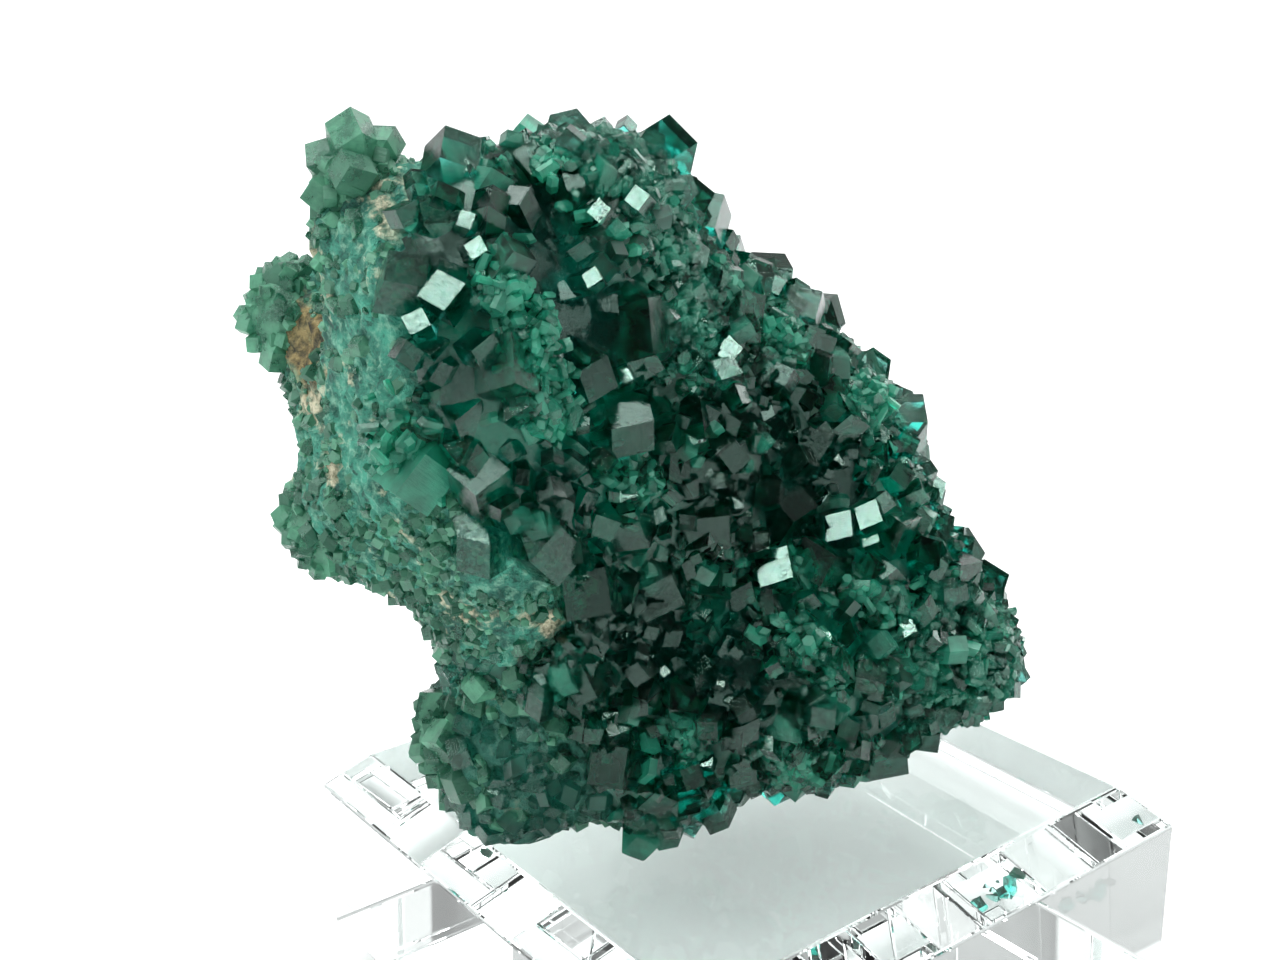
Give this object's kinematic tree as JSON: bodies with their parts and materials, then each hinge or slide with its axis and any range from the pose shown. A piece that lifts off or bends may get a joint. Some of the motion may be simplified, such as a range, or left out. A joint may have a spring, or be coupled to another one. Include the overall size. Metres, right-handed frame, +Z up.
{
  "type": "dioptase mineral specimen on a clear display block",
  "caption": "Dark green dioptase druse on pale rock, standing on a clear square display block with bevelled edges.",
  "frame": {"origin": "centre of the display block's underside, which is the surface the object stands on", "axes": "+Z up, the druse faces -Y, +X to the right seen from the front"},
  "size_m": [0.0706, 0.07, 0.075],
  "materials": {
    "clear_block": "polished clear block",
    "rock": "rough natural rock, pale green with cream and brown",
    "dioptase_druse": "dark green crystals with a glassy lustre",
    "dioptase_groups": "lighter green crystals with a glassy lustre"
  },
  "bodies": {
    "root": {"display_block": "clear_block", "matrix_rock": "rock", "druse_crust": "dioptase_druse", "pillar_crystals": "dioptase_groups", "knob_crystals": "dioptase_groups", "flank_crystal": "dioptase_groups", "ledge_crystals": "dioptase_groups", "heel_crystals": "dioptase_groups", "back_crystals_high": "dioptase_groups", "back_crystals_low": "dioptase_groups"}
  },
  "joints": []
}
